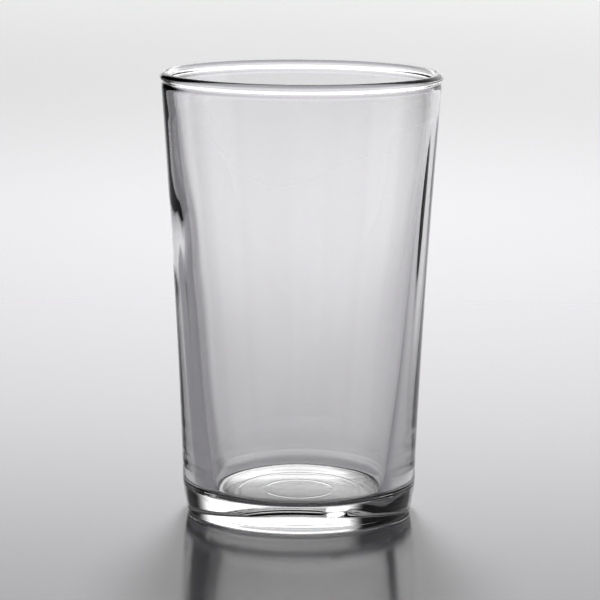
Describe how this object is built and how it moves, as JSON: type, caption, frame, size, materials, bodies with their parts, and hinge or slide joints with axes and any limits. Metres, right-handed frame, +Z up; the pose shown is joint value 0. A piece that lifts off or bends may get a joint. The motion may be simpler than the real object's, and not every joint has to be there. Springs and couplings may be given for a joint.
{
  "type": "pint glass",
  "caption": "Clear tumbler with a wall that flares gently to a beaded rim, over a thick base with a tucked-in heel and a domed underside.",
  "frame": {"origin": "centre of the foot, on the surface that the glass stands on", "axes": "+Z up along the axis of the glass, from the foot to the mouth"},
  "size_m": [0.087, 0.087, 0.1375],
  "materials": {
    "clear_glass": "fire-polished clear soda-lime glass"
  },
  "bodies": {
    "root": {"glass_tumbler": "clear_glass"}
  },
  "joints": []
}
